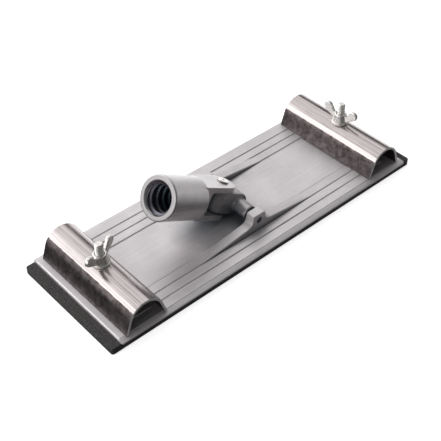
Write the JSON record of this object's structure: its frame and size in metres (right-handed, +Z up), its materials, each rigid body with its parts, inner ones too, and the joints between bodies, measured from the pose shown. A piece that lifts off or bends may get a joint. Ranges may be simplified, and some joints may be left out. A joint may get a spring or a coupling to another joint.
{
  "type": "drywall pole sander head",
  "caption": "Rectangular cast sanding plate with a rubber pad, arched sheet-metal paper clamps held by wing nuts, and a two-way swivel with a threaded pole socket.",
  "frame": {"origin": "centre of the pad's underside, where the abrasive sheet lies", "axes": "+X along the plate's length, away from the leaning pole socket; +Y across the plate; +Z up from the worked surface"},
  "size_m": [0.235, 0.0826, 0.0569],
  "materials": {
    "black_pad": "matt black moulded rubber",
    "cast_aluminium": "tumbled die casting",
    "bright_sheet": "bright plated steel sheet",
    "zinc_hardware": "bright zinc plate"
  },
  "bodies": {
    "head": {"base_plate": "cast_aluminium", "pad": "black_pad", "clamp_bolt_left": "zinc_hardware", "clamp_bolt_right": "zinc_hardware", "pivot_pin": "zinc_hardware"},
    "swivel": {"swivel_block": "cast_aluminium"},
    "socket": {"pole_socket": "cast_aluminium", "swing_rivet": "zinc_hardware"},
    "left_clamp": {"clamp_left": "bright_sheet", "washer_left": "zinc_hardware"},
    "left_nut": {"wing_nut_left": "zinc_hardware"},
    "right_clamp": {"clamp_right": "bright_sheet", "washer_right": "zinc_hardware"},
    "right_nut": {"wing_nut_right": "zinc_hardware"}
  },
  "joints": [
    {"name": "pole_tilt", "type": "hinge", "parent": "head", "child": "swivel", "pos_m": [0, 0, 0.013], "axis": [0, 1, 0], "range_deg": [0, 117]},
    {"name": "pole_swing", "type": "hinge", "parent": "swivel", "child": "socket", "pos_m": [-0.01111, 0, 0.01975], "axis": [0.5195, 0, 0.8545], "range_deg": [-62.7, 57.3]},
    {"name": "left_clamp_lift", "type": "slide", "parent": "head", "child": "left_clamp", "axis": [0, 0, 1], "range_m": [0, 0.005]},
    {"name": "left_nut_turn", "type": "hinge", "parent": "left_clamp", "child": "left_nut", "pos_m": [-0.0937, -0.001, 0.024], "axis": [0, 0, 1], "range_deg": [0, 1702]},
    {"name": "right_clamp_lift", "type": "slide", "parent": "head", "child": "right_clamp", "axis": [0, 0, 1], "range_m": [0, 0.005]},
    {"name": "right_nut_turn", "type": "hinge", "parent": "right_clamp", "child": "right_nut", "pos_m": [0.0942, 0, 0.024], "axis": [0, 0, 1], "range_deg": [0, 1702]}
  ],
  "couplings": [
    {"joint": "left_nut_turn", "follows": "left_clamp_lift", "rad_per_m": 5936.8},
    {"joint": "right_nut_turn", "follows": "right_clamp_lift", "rad_per_m": 5936.8}
  ]
}
